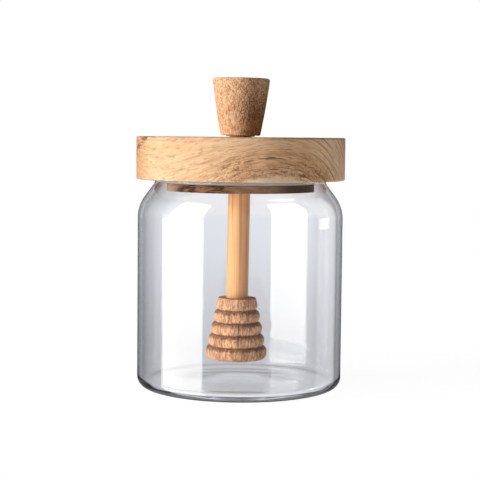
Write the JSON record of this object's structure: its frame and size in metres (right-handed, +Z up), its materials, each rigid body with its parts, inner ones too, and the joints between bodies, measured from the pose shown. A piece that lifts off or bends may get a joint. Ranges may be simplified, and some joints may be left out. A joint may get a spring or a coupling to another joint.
{
  "type": "glass honey jar with wooden lid and dipper",
  "caption": "Clear round glass jar with a thick turned wooden lid, a soft seal under it and a ridged wooden honey dipper that hangs from the lid's knob.",
  "frame": {"origin": "centre of the jar's foot, on the surface that it stands on", "axes": "+Z up along the jar's axis, +X to the right and -Y towards the viewer of the picture"},
  "size_m": [0.1016, 0.1016, 0.1506],
  "materials": {
    "clear_glass": "clear, smooth, fire-polished rim",
    "blond_wood": "blond acacia with arched growth rings, sanded, unvarnished",
    "brown_wood": "warm brown, fine wavy open grain, oiled",
    "honey_wood": "yellow, straight fine lengthwise grain, smooth",
    "ridge_wood": "brown, short dark upright flecks, sanded",
    "grey_silicone": "translucent grey silicone, satin"
  },
  "bodies": {
    "root": {"glass_jar": "clear_glass", "lid": "blond_wood", "seal": "grey_silicone", "knob": "brown_wood", "dipper_rod": "honey_wood", "dipper_head": "ridge_wood"}
  },
  "joints": []
}
